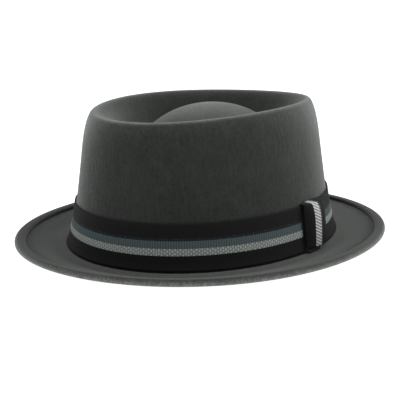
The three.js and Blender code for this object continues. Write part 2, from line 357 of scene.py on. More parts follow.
@dataclass(frozen=True)
class StripedRibbon:
    """Black grosgrain with a slate and a silver stripe.

    The UV map has the length in decimetres and the share of the ribbon's width.
    """

    weave: Weave
    cloth: ClothShader = ClothShader("striped_grosgrain", 0.05, 0.4, (0.95, 0.97, 1.0), 0.08)
    width: float = 29.0
    rib_pitch: float = 1.66
    twill_pitch: float = 2.2
    twill_slope: float = 0.55
    # Shares of the width where the stripes begin and end, and how their edges stray
    silver_from: float = 0.325
    silver_to: float = 0.472
    slate_to: float = 0.633
    navy_to: float = 0.69
    edge_stray: float = 0.008
    edge_softness: float = 0.004
    # How the silver threads stray, in millimetres over the ribbon, and the part of that along it
    thread_stray: float = 1.3
    stray_along: float = 0.35
    # Waves in each metre
    stray_waves: float = 320.0
    edge_waves: float = 900.0
    dot_waves: float = 1300.0
    grain_waves: float = 2200.0
    # Waves in each decimetre of the length and in the whole width
    thread_waves: Place = (260.0, 6.0, 1.0)
    black: Colour = (0.0095, 0.0095, 0.0095)
    navy: Colour = (0.008, 0.013, 0.019)
    slate: Colour = (0.090, 0.118, 0.122)
    silver: Colour = (0.345, 0.38, 0.355)
    silver_shade: Colour = (0.118, 0.13, 0.124)
    # Shares of the colours that are left between two cords, as painted shade in the grooves
    black_groove_shade: float = 0.6
    slate_groove_shade: float = 0.35

    def _twill(self, along: Signal, across: Signal) -> Signal:
        """Threads of the silver stripe, 1 on a thread and 0 between two.

        Args:
            along: Millimetres along the ribbon.
            across: Millimetres over the ribbon.
        Returns:
            The threads' mask.
        """
        if self.weave is Weave.DIAMOND:
            check = along.wave(2.0 * self.rib_pitch) * across.wave(self.twill_pitch)
            wave = along.wave(self.rib_pitch) * 0.45 + check * 0.75
        else:
            wave = (along - across * self.twill_slope).wave(self.twill_pitch)
        return wave * 0.5 + 0.5

    def material(self) -> Material:
        """Make the ribbon's material.

        Returns:
            The material.
        """
        material, book, shader = self.cloth.start()
        material.name = f"{self.cloth.name}_{self.weave.value}"
        place, surface = book.coordinates("Object"), book.coordinates("UV")
        parts = book.add("ShaderNodeSeparateXYZ", None, {0: surface})
        along, share = book.signal(parts, "X") * DECIMETRE, book.signal(parts, "Y")
        edge = share + (book.noise(place, self.edge_waves, 1.0) - 0.5) * self.edge_stray
        ends = (self.silver_from, self.silver_to, self.slate_to, self.navy_to)
        silver, slate, navy = (edge.inside(low, high, self.edge_softness) for low, high in zip(ends, ends[1:]))
        rib = along.wave(self.rib_pitch) * 0.5 + 0.5
        cord_shade_and_threads = rib * 0.55 + book.noise(book.stretch(surface, self.thread_waves), 1.0) * 0.45
        stray = (book.noise(place, self.stray_waves, 1.0) - 0.5) * self.thread_stray
        twill = self._twill(along + stray * self.stray_along, share * self.width + stray)
        grain = book.noise(place, self.grain_waves, 2.0, 0.6)
        strand = (twill + (grain - 0.5) * 0.9).rise(0.05, 0.95)
        dot = book.noise(place, self.dot_waves, 1.0).rise(0.56, 0.66)
        # Painted shade between the cords and painted light on their tops, with thread noise mixed in
        colour = book.blend(cord_shade_and_threads, tuple(self.black_groove_shade * part for part in self.black), self.black)
        colour = book.blend(navy, colour, book.blend(dot * 0.25, self.navy, self.slate))
        slate_groove_shade = tuple(self.slate_groove_shade * part for part in self.slate)
        colour = book.blend(slate, colour, book.blend(cord_shade_and_threads, slate_groove_shade, self.slate))
        colour = book.blend(silver, colour, book.blend(strand, self.silver_shade, self.silver))
        relief = twill * silver + rib * 0.3 * (1.0 - silver) + grain * 0.3
        rough = 0.62 - silver * 0.12 + grain * 0.12
        book.feed(shader, {"Base Color": colour, "Normal": book.bump(relief, 0.12, 0.6), "Roughness": rough})
        return material


@dataclass(frozen=True)
class BlackThread:
    """Waxed black sewing thread."""

    cloth: ClothShader = ClothShader("black_sewing_thread", 0.2, 0.4, WHITE, 0.3)
    colour: Colour = (0.006, 0.006, 0.007)
    lit: Colour = (0.02, 0.02, 0.022)
    roughness: float = 0.6
    # Waves in each metre
    ply_waves: float = 2600.0

    def material(self) -> Material:
        """Make the thread's material, with the twist of its plies.

        Returns:
            The material.
        """
        material, book, shader = self.cloth.start()
        ply = book.noise(book.coordinates("Object"), self.ply_waves, 1.0)
        colour, normal = book.blend(ply, self.colour, self.lit), book.bump(ply, 0.1, 0.5)
        book.feed(shader, {"Base Color": colour, "Normal": normal, "Roughness": self.roughness})
        return material


@dataclass(frozen=True)
class PaleFloor:
    """Matt white paper for the floor."""

    cloth: ClothShader = ClothShader("white_paper", 0.0, 0.5, WHITE, 0.0)
    colour: Colour = (0.45, 0.45, 0.45)
    glow: float = 1.0

    def material(self) -> Material:
        """Make the paper's material.

        Returns:
            The material.
        """
        material, book, shader = self.cloth.start()
        glow = {"Emission Color": (*WHITE, 1.0), "Emission Strength": self.glow}
        book.feed(shader, {"Base Color": (*self.colour, 1.0), "Roughness": 1.0, **glow})
        return material


def grid_mesh(
    name: str,
    rings: Array,
    surface: tuple[Array, Array],
    marks: dict[str, Array],
    poles: tuple[Optional[Array], Optional[Array]] = (None, None),
    loop: bool = False,
    caps: bool = False,
) -> Mesh:
    """Make a closed mesh from rings of points.

    Args:
        name: Name of the mesh.
        rings: Points in millimetres, one row for each ring.
        surface: U and V of each point and of the first one again, so they have one column more than rings.
        marks: Values of named attributes, in a shape that fits the rings.
        poles: The point that closes the first ring and the one that closes the last.
        loop: True if the last ring joins the first.
        caps: True if both end rings run out along one face of a strip and back along the other.
    Returns:
        The mesh, smooth shaded, with faces outwards.
    """
    count, size = rings.shape[:2]
    number = np.arange(count * size).reshape(count, size)
    uv = np.stack(np.broadcast_arrays(*surface), axis=-1)
    joined = np.vstack([number, number[:1]]) if loop else number
    after = np.roll(joined, -1, axis=1)
    quads = np.stack([joined[:-1], joined[1:], after[1:], after[:-1]], axis=-1).reshape(-1, 4)
    uv_rows = np.vstack([uv, uv[:1]]) if loop else uv
    corner = np.stack([uv_rows[:-1, :-1], uv_rows[1:, :-1], uv_rows[1:, 1:], uv_rows[:-1, 1:]], axis=2)
    faces = quads.tolist()
    uvs = [corner.reshape(-1, 2)]
    points = [rings.reshape(-1, 3)]
    for pole, ring, row, down in zip(poles, (number[0], number[-1]), (uv[0], uv[-1]), (True, False)):
        if pole is None:
            continue
        total = count * size + len(points) - 1
        for a, b in zip(ring.tolist(), np.roll(ring, -1).tolist()):
            faces.append([total, a, b] if down else [a, total, b])
        uvs.append(np.repeat(row[:-1], 3, axis=0))
        points.append(pole[None])
    if caps:
        for ring, row, forward in ((number[0], uv[0], True), (number[-1], uv[-1], False)):
            for j in range(size // 2 - 1):
                places = [j, j + 1, size - 2 - j, size - 1 - j]
                if not forward:
                    places.reverse()
                faces.append([int(ring[place]) for place in places])
                uvs.append(row[places])
    mesh = bpy.data.meshes.new(name)
    mesh.from_pydata((np.vstack(points) * MM).tolist(), [], faces)
    layer = mesh.uv_layers.new(name="surface")
    layer.data.foreach_set("uv", np.vstack(uvs).astype(np.float32).ravel())
    for mark, values in marks.items():
        values = np.broadcast_to(values, (count, size))
        attribute = mesh.attributes.new(mark, "FLOAT", "POINT")
        ends = [ring.mean() for ring, pole in zip((values[0], values[-1]), poles) if pole is not None]
        filled = np.concatenate([values.ravel(), ends])
        attribute.data.foreach_set("value", filled.astype(np.float32))
    mesh.shade_smooth()
    mesh.update()
    return mesh


def place_piece(name: str, mesh: Mesh, material: Material) -> Piece:
    """Put a mesh in the scene with one material.

    Args:
        name: Name of the piece.
        mesh: Its mesh.
        material: Its finish.
    Returns:
        The new object, at the origin.
    """
    mesh.materials.clear()
    mesh.materials.append(material)
    piece = bpy.data.objects.new(name, mesh)
    bpy.context.scene.collection.objects.link(piece)
    return piece


def lengths(points: Array) -> Array:
    """Length of a line up to each of its points."""
    return np.concatenate([[0.0], np.cumsum(np.linalg.norm(np.diff(points, axis=0), axis=1))])


def spline(knots: Array, place: Array) -> Array:
    """Centripetal curve through knots.

    Args:
        knots: Points, one row or one block of points for each knot.
        place: Where on the curve: a whole number is a knot.
    Returns:
        One point or block for each place.
    """
    ends = [2 * knots[:1] - knots[1:2], knots, 2 * knots[-1:] - knots[-2:-1]]
    padded = np.concatenate(ends)
    first = np.clip(np.floor(place).astype(int), 0, len(knots) - 2)
    share = (place - first).reshape((-1,) + (1,) * (knots.ndim - 1))
    p0, p1, p2, p3 = (padded[first + k] for k in range(4))

    def reach(a: Array, b: Array) -> Array:
        """Square root of the distance between two knots."""
        return np.sqrt(np.linalg.norm(b - a, axis=-1, keepdims=True))

    d1 = reach(p1, p2)
    d1 = np.where(d1 < 1e-4, 1.0, d1)
    d0, d2 = reach(p0, p1), reach(p2, p3)
    d0 = np.where(d0 < 1e-4, d1, d0)
    d2 = np.where(d2 < 1e-4, d1, d2)
    t1 = ((p1 - p0) / d0 - (p2 - p0) / (d0 + d1) + (p2 - p1) / d1) * d1
    t2 = ((p2 - p1) / d1 - (p3 - p1) / (d1 + d2) + (p3 - p2) / d2) * d1
    square = -3 * p1 + 3 * p2 - 2 * t1 - t2
    cube = 2 * p1 - 2 * p2 + t1 + t2
    return p1 + t1 * share + square * share**2 + cube * share**3


@dataclass
class FeltBody:
    """The blocked felt: tip, gutter, crest, wall and brim in one shell, its edge folded back as a welt."""

    finish: WoolFelt
    head_length: float = 200.0
    head_width: float = 172.0
    felt: float = 2.2
    crown_height: float = 90.0
    crest_length: float = 174.0
    crest_width: float = 134.0
    crest_shift: float = 2.5
    crest_tilt: float = 0.4
    crest_lean: float = 0.8
    crest_saddle: float = 1.5
    gutter_length: float = 114.0
    gutter_width: float = 99.0
    gutter_shift: float = 10.0
    gutter_depth: float = 24.0
    tip_height: float = 23.0
    brim_length: float = 277.0
    brim_width: float = 246.0
    brim_fullness: float = 1.2
    edge_lift: float = 2.1
    edge_tilt: float = 2.1
    welt_width: float = 7.0
    around: int = 280
    wall_samples: int = 240
    rim_rings: int = 15

    # Share of the gutter's oval, share of the tip's height
    tip_rows: Rows = ((0.0, 1.0), (0.2, 0.97), (0.42, 0.85), (0.62, 0.65), (0.8, 0.36), (0.92, 0.1), (1.0, 0.0))
    # Share of the way from the gutter to the crest, share of the gutter's depth
    lip_rows: Rows = ((0.18, 0.05), (0.36, 0.26), (0.52, 0.56), (0.7, 0.85), (0.85, 0.97), (1.0, 1.0))
    # Share of the way from the crest to the wall's foot, share of the crown's height
    wall_rows: Rows = (
        (0.095, 0.988), (0.178, 0.958), (0.265, 0.908), (0.37, 0.81),
        (0.505, 0.6), (0.69, 0.32), (0.85, 0.14), (0.96, 0.045),
    )
    # Share of the way from the wall's foot to the welt, share of the edge's lift
    brim_rows: Rows = (
        (0.05, 0.0), (0.11, 0.0), (0.29, 0.0), (0.36, 0.0), (0.52, 0.22), (0.76, 0.7), (1.0, 1.0),
    )
    # Section of the welt's foot, outwards and up, in shares of the felt's thickness
    welt_rows: Rows = (
        (0.02, 0.1), (-0.06, 0.35), (-0.02, 0.6), (0.12, 0.82), (0.38, 0.96), (0.75, 1.02), (1.3, 1.0),
    )
    # Rows of the upper surface where the felt bends, rings from there to the next row
    bends: Rows = (
        (4, 8), (5, 10), (6, 9), (7, 9), (8, 8), (9, 8), (10, 9), (11, 10), (12, 10), (13, 9), (14, 8), (15, 6),
        (18, 7), (19, 9), (20, 9), (21, 6),
    )
    straight_rings: int = 4

    # Row of the upper surface, painted light and shade there: lighter on the lit tip and crest, darker on the brim
    # in the crown's shade
    painted_light_rows: Rows = (
        (0.0, 1.1), (5.0, 1.0), (7.0, 0.9), (10.5, 1.0), (11.3, 1.35), (12.4, 1.45), (13.2, 0.92), (15.0, 0.74),
        (20.0, 0.72), (21.5, 0.62), (26.0, 0.55), (27.0, 0.35),
    )
    # Painted shade at the welt's foot, painted light at its rim, and painted shade inside the shell
    welt_painted_light: tuple[float, float] = (0.35, 1.35)
    inner_painted_shade: float = 0.6
    # Share of worn felt with a painted highlight, and the number of rows over which it fades
    crest_wear_and_highlight: tuple[float, float] = (0.55, 0.9)
    tip_wear_and_highlight: tuple[float, float] = (0.25, 3.0)

    @property
    def foot_length(self) -> float:
        """Length of the crown's outside at its foot."""
        return self.head_length + 2 * self.felt

    @property
    def foot_width(self) -> float:
        """Width of the crown's outside at its foot."""
        return self.head_width + 2 * self.felt

    @property
    def crest_row(self) -> int:
        """Row of the crest."""
        return len(self.tip_rows) + len(self.lip_rows) - 1

    @property
    def foot_row(self) -> int:
        """Row just over the wall's foot."""
        return self.crest_row + len(self.wall_rows)

    @property
    def last_row(self) -> int:
        """Row at the foot of the welt."""
        return self.foot_row + len(self.brim_rows)

    @staticmethod
    def oval(length: Numbers, width: Numbers, turn: Array, middle: float = 0.0) -> Array:
        """Points of an oval seen from above. Turn 0 is the front and a quarter turn the wearer's left."""
        across = width / 2 * np.sin(turn)
        return np.stack([across, middle - length / 2 * np.cos(turn), np.zeros_like(turn)], axis=-1)

    def _rows(self, turn: Array) -> Array:
        """Points of every row of the upper surface.

        Args:
            turn: Turns.
        Returns:
            The points, one line for each row and one column for each turn.
        """
        middle = self.oval(0.0, 0.0, turn, self.gutter_shift)
        gutter = self.oval(self.gutter_length, self.gutter_width, turn, self.gutter_shift)
        crest = self.oval(self.crest_length, self.crest_width, turn, self.crest_shift)
        foot = self.oval(self.foot_length, self.foot_width, turn)
        inset = 2 * self.welt_width - self.brim_fullness * (1 - np.cos(4 * turn))
        welt = self.oval(self.brim_length - inset, self.brim_width - inset, turn)
        brim_top = self.felt
        gutter_top = brim_top + self.crown_height - self.gutter_depth
        lift = self.edge_lift + self.edge_tilt * np.cos(turn)
        rise = self.crest_tilt * np.cos(turn) + self.crest_lean * np.sin(turn)
        rise -= self.crest_saddle * np.cos(2 * turn)
        depth, wall = self.gutter_depth + rise, self.crown_height + rise

        def between(start: Array, end: Array, share: float, height: Numbers) -> Array:
            """Points a share of the way between two ovals, at their own height."""
            point = start + (end - start) * share
            point[..., 2] = height
            return point

        tip = self.tip_height
        rows = [between(middle, gutter, reach, gutter_top + tip * height) for reach, height in self.tip_rows]
        rows += [between(gutter, crest, reach, gutter_top + depth * height) for reach, height in self.lip_rows]
        rows += [between(crest, foot, out, brim_top + wall * height) for out, height in self.wall_rows]
        rows += [between(foot, welt, out, brim_top + lift * share) for out, share in self.brim_rows]
        return np.stack(rows)

    def points(self, turn: Array, row: Array) -> Array:
        """Points of the upper surface, one line for each row number and one column for each turn."""
        knots = np.concatenate([self._rows(turn + math.pi)[1:2], self._rows(turn)])
        return spline(knots, np.asarray(row, dtype=float) + 1)

    def normals(self, turn: Array, row: Array) -> Array:
        """Upward normals at the same places as points gives.

        Args:
            turn: Turns.
            row: Row numbers.
        Returns:
            The normals, of length 1.
        """
        step = 0.001
        outward = self.points(turn, np.minimum(row + step, self.last_row)) - self.points(turn, row - step)
        along = self.points(turn + step, row) - self.points(turn - step, row)
        normal = np.cross(outward, along)
        return normal / np.linalg.norm(normal, axis=-1, keepdims=True)

    def wall(self, turn: Array, height: Array, offset: Array) -> Array:
        """Points beside the crown's wall.

        Args:
            turn: Turns.
            height: Heights over the floor, in a shape that fits.
            offset: Distances out from the felt, in a shape that fits.
        Returns:
            The points, in the shape of all three together.
        """
        shape = np.broadcast_shapes(turn.shape, height.shape, offset.shape)
        turn, height, offset = (np.broadcast_to(values, shape).ravel() for values in (turn, height, offset))
        single, back = np.unique(turn, return_inverse=True)
        line = self.points(single, np.linspace(self.crest_row, self.foot_row + 2, self.wall_samples))[::-1]
        found = np.empty((len(turn), 3))
        order = np.argsort(back, kind="stable")
        starts = np.searchsorted(back[order], np.arange(len(single) + 1))
        for column in range(len(single)):
            chosen = order[starts[column]:starts[column + 1]]
            meridian = line[:, column]
            for axis in (0, 1):
                found[chosen, axis] = np.interp(height[chosen], meridian[:, 2], meridian[:, axis])
        outward = np.stack([np.sin(turn) / self.foot_width, -np.cos(turn) / self.foot_length], axis=-1)
        outward /= np.linalg.norm(outward, axis=-1, keepdims=True)
        found[:, :2] += outward * offset[:, None]
        found[:, 2] = height
        return found.reshape(*shape, 3)

    def _row_numbers(self, fine: bool) -> Array:
        """Row numbers of the shell's rings, closer together where the felt bends.

        Args:
            fine: True for the upper surface, which has twice the rings of the inner one.
        Returns:
            The row numbers, from the tip to the welt.
        """
        bends = dict(self.bends)
        places = []
        for row in range(self.last_row):
            steps = bends.get(row, self.straight_rings)
            steps = steps if fine else max(2, steps // 2)
            places += [row + step / steps for step in range(steps)]
        return np.array(places[1:] + [float(self.last_row)])

    def _welt(self, turn: Array) -> Array:
        """Rings of the folded edge, from its foot over the top to the underside.

        Args:
            turn: Turns.
        Returns:
            The rings' points.
        """
        last = np.array([float(self.last_row)])
        foot = self.points(turn, last)[0]
        normal = self.normals(turn, last)[0]
        along = foot - self.oval(self.foot_length, self.foot_width, turn)
        along[:, 2] = 0.0
        along -= normal * (along * normal).sum(axis=1, keepdims=True)
        along /= np.linalg.norm(along, axis=1, keepdims=True)
        section = [(out * self.felt, up * self.felt) for out, up in self.welt_rows]
        centre = self.welt_width - self.felt
        for angle in np.linspace(math.pi / 2, -math.pi / 2, self.rim_rings):
            section.append((centre + self.felt * math.cos(angle), self.felt * math.sin(angle)))
        return np.stack([foot + along * out + normal * up for out, up in section])

    def _marks(self, rows: Array, welt_rings: int, inner_rings: int) -> dict[str, Array]:
        """Attributes of the material: wear and painted highlight on crest, tip and edge, wall on the crown's side,
        and painted light and shade.

        Args:
            rows: Row numbers of the upper surface's rings.
            welt_rings: Number of the welt's rings.
            inner_rings: Number of the inner surface's rings.
        Returns:
            The attributes' values by name, one for each ring.
        """
        upper = np.zeros(len(rows))
        for middle, (share, fade) in ((self.crest_row, self.crest_wear_and_highlight), (0, self.tip_wear_and_highlight)):
            upper += np.exp(-(((rows - middle) / fade) ** 2)) * share
        rim = np.clip(np.linspace(-0.6, 1.6, welt_rings), 0, 1)
        worn_and_highlight = np.concatenate([upper, rim, np.zeros(inner_rings)])
        side = np.clip(rows - self.crest_row - 1, 0, 1) * np.clip(self.foot_row - rows, 0, 1)
        wall = np.concatenate([side, np.zeros(welt_rings + inner_rings)])
        foot, outer = self.welt_painted_light
        dyed = np.interp(rows, *np.transpose(self.painted_light_rows))
        painted_light = np.concatenate([dyed, foot + (outer - foot) * rim, np.full(inner_rings, self.inner_painted_shade)])
        return {"worn_and_highlight": worn_and_highlight[:, None], "wall": wall[:, None], "painted_light": painted_light[:, None]}

    def build(self) -> Piece:
        """Build the felt body.

        Returns:
            The piece, riding on the hat's body in place of the plain felt.
        """
        turn = np.arange(self.around) / self.around * TURN
        rows, inner = self._row_numbers(True), self._row_numbers(False)[::-1]
        top = self.points(turn, rows)
        welt = self._welt(turn)
        under = self.points(turn, inner) - self.felt * self.normals(turn, inner)
        under[..., 2] = np.maximum(under[..., 2], 0.0)
        rings = np.concatenate([top, welt, under])
        steps = np.linalg.norm(np.diff(rings, axis=0), axis=-1).mean(axis=1)
        down = np.concatenate([[0.0], np.cumsum(steps)])
        side = np.append(turn, TURN) * (self.foot_length + self.foot_width) / 4
        surface = (side[None, :] / DECIMETRE, down[:, None] / DECIMETRE)
        middle = self.points(np.zeros(1), np.zeros(1))[0, 0]
        poles = (middle, middle - np.array([0.0, 0.0, self.felt]))
        mesh = grid_mesh("felt", rings, surface, self._marks(rows, len(welt), len(inner)), poles)
        piece = place_piece("felt_body_dressed", mesh, self.finish.material())
        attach(piece, BODY)
        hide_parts("felt_body")
        return piece


class PieceTree:
    """A Geometry Nodes tree with named inputs, which ends in plain faces with a finish."""

    def __init__(self, name: str, inputs: dict[str, str]) -> None:
        """Start the tree.

        Args:
            name: Name of the tree.
            inputs: Kinds of its inputs by their names, without the mesh and the finish.
        """
        self.tree = bpy.data.node_groups.new(name, "GeometryNodeTree")
        face = self.tree.interface
        face.new_socket("Mesh", in_out="INPUT", socket_type="NodeSocketGeometry")
        self.inputs = {
            label: face.new_socket(label, in_out="INPUT", socket_type=f"NodeSocket{kind}")
            for label, kind in {**inputs, "Finish": "Material"}.items()
        }
        face.new_socket("Piece", in_out="OUTPUT", socket_type="NodeSocketGeometry")
        self.book = NodeBook(self.tree)
        self.given = self.book.add("NodeGroupInput").outputs

    def _close(self, geometry: Socket) -> None:
        """End the tree in real faces with the finish.

        Args:
            geometry: What the tree has made.
        """
        real = self.book.made("GeometryNodeRealizeInstances", {"Geometry": geometry})
        dressed = {"Geometry": real, "Material": self.given["Finish"]}
        self.book.add("NodeGroupOutput", None, {0: self.book.made("GeometryNodeSetMaterial", dressed)})

    def apply(self, name: str, mesh: Mesh, material: Material, values: Settings) -> Piece:
        """Run the tree on a mesh and keep the result as a plain mesh.

        Args:
            name: Name of the piece.
            mesh: The mesh that the tree starts from.
            material: The piece's finish.
            values: Values of the tree's inputs by their names.
        Returns:
            The piece.
        """
        source = place_piece(f"{name}_source", mesh, material)
        modifier = source.modifiers.new(self.tree.name, "NODES")
        modifier.node_group = self.tree
        for label, value in {**values, "Finish": material}.items():
            modifier[self.inputs[label].identifier] = value
        graph = bpy.context.evaluated_depsgraph_get()
        result = bpy.data.meshes.new_from_object(source.evaluated_get(graph), depsgraph=graph)
        result.name = name
        source.modifiers.clear()
        bpy.data.objects.remove(source)
        return place_piece(name, result, material)


class CordedRibs(PieceTree):
    """Raises the cross cords of grosgrain on a smooth ribbon.

    The ribbon's mesh gives the attributes along, the millimetres along the ribbon, and outside, 1 on its face.
    """

    names: tuple[str, ...] = ("Cord pitch in mm", "Cord height in m", "Unevenness")
    uneven: float = 0.18
    # Waves in each metre
    uneven_waves: float = 190.0

    def __init__(self) -> None:
        """Build the tree."""
        super().__init__("corded_ribs", dict.fromkeys(self.names, "Float"))
        book, kind = self.book, "GeometryNodeInputNamedAttribute"
        pitch, height, uneven = (Signal(book, self.given[name]) for name in self.names)
        along, outside = (
            book.signal(book.add(kind, {"data_type": "FLOAT"}, {"Name": name}), "Attribute")
            for name in ("along", "outside")
        )
        random = book.noise(book.made("GeometryNodeInputPosition"), self.uneven_waves)
        size = (along.wave(pitch) * 0.5 + 0.5) * height * (1.0 + uneven * (random * 2.0 - 1.0)) * outside
        shift = book.scaled(book.made("GeometryNodeInputNormal"), size)
        self._close(book.made("GeometryNodeSetPosition", {"Geometry": self.given["Mesh"], "Offset": shift}))

    def cord(self, name: str, mesh: Mesh, ribbon: StripedRibbon, height: float) -> Piece:
        """Raise the cords on a ribbon.

        Args:
            name: Name of the piece.
            mesh: The smooth ribbon.
            ribbon: Its finish.
            height: Height of a cord, in millimetres.
        Returns:
            The corded ribbon.
        """
        values = dict(zip(self.names, (ribbon.rib_pitch, height * MM, self.uneven)))
        return self.apply(name, mesh, ribbon.material(), values)


@dataclass
class RibbonBand:
    """The striped ribbon round the crown's wall."""

    felt: FeltBody
    cords: CordedRibs
    finish: StripedRibbon
    foot: float = 0.7
    thickness: float = 0.8
    clearance: float = 0.3
    cord_height: float = 0.13
    columns_per_cord: int = 6
    face_rows: int = 26
    length_samples: int = 4001
    # Share of the width from which the upper part leans out, and how steeply, in millimetres for the whole width
    lean_from: float = 0.75
    lean: float = 1.5

    @property
    def bottom(self) -> float:
        """Height of the ribbon's lower edge."""
        return self.felt.felt + self.foot

    @property
    def top(self) -> float:
        """Height of the ribbon's upper edge."""
        return self.bottom + self.finish.width

    def _even_turns(self) -> tuple[Array, Array]:
        """Even steps along the ribbon's middle.

        Returns:
            The turns, and the lengths along the ribbon, with its whole length at the end.
        """
        fine = np.linspace(0.0, TURN, self.length_samples)
        height = np.full_like(fine, self.bottom + self.finish.width * 0.4)
        length = lengths(self.felt.wall(fine, height, np.full_like(fine, self.clearance + self.thickness)))
        cords = round(length[-1] / self.finish.rib_pitch)
        columns = cords * self.columns_per_cord
        even = np.arange(columns) / columns * length[-1]
        stretched = np.arange(columns + 1) / columns * cords * self.finish.rib_pitch
        return np.interp(even, length, fine), stretched

    def build(self) -> Piece:
        """Build the ribbon band.

        Returns:
            The piece, riding on the hat's body in place of the plain ribbon.
        """
        turn, along = self._even_turns()
        faces = 1 - (0.004 + 0.992 * np.linspace(0.0, 1.0, self.face_rows))
        # Share of the width, share of the thickness: upper edge, face, lower edge and back
        section = [(1.0, 0.45), *((share, 1.0) for share in faces), (0.0, 0.45)]
        section += [(share, 0.0) for share in (0.01, 0.35, 0.7, 0.99)]
        shares, depths = np.transpose(section)
        height = self.bottom + self.finish.width * shares
        offset = self.clearance + self.thickness * depths
        # Soft waves of the upper edge, in shares of the lean
        gape = 0.22 * np.sin(3 * turn + 0.6) ** 2 + 0.1 * np.sin(11 * turn) ** 2
        lean = np.clip(shares - self.lean_from, 0, 1)[:, None] * self.lean * gape[None, :]
        rings = self.felt.wall(turn[None, :], height[:, None], offset[:, None] + lean)
        surface = (along[None, :] / DECIMETRE, shares[:, None])
        marks = {"along": along[None, :-1], "outside": np.where(depths > 0.9, 1.0, 0.0)[:, None]}
        mesh = grid_mesh("ribbon", rings, surface, marks, loop=True)
        piece = self.cords.cord("ribbon_band_dressed", mesh, self.finish, self.cord_height)
        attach(piece, BODY)
        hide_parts("ribbon_band")
        return piece


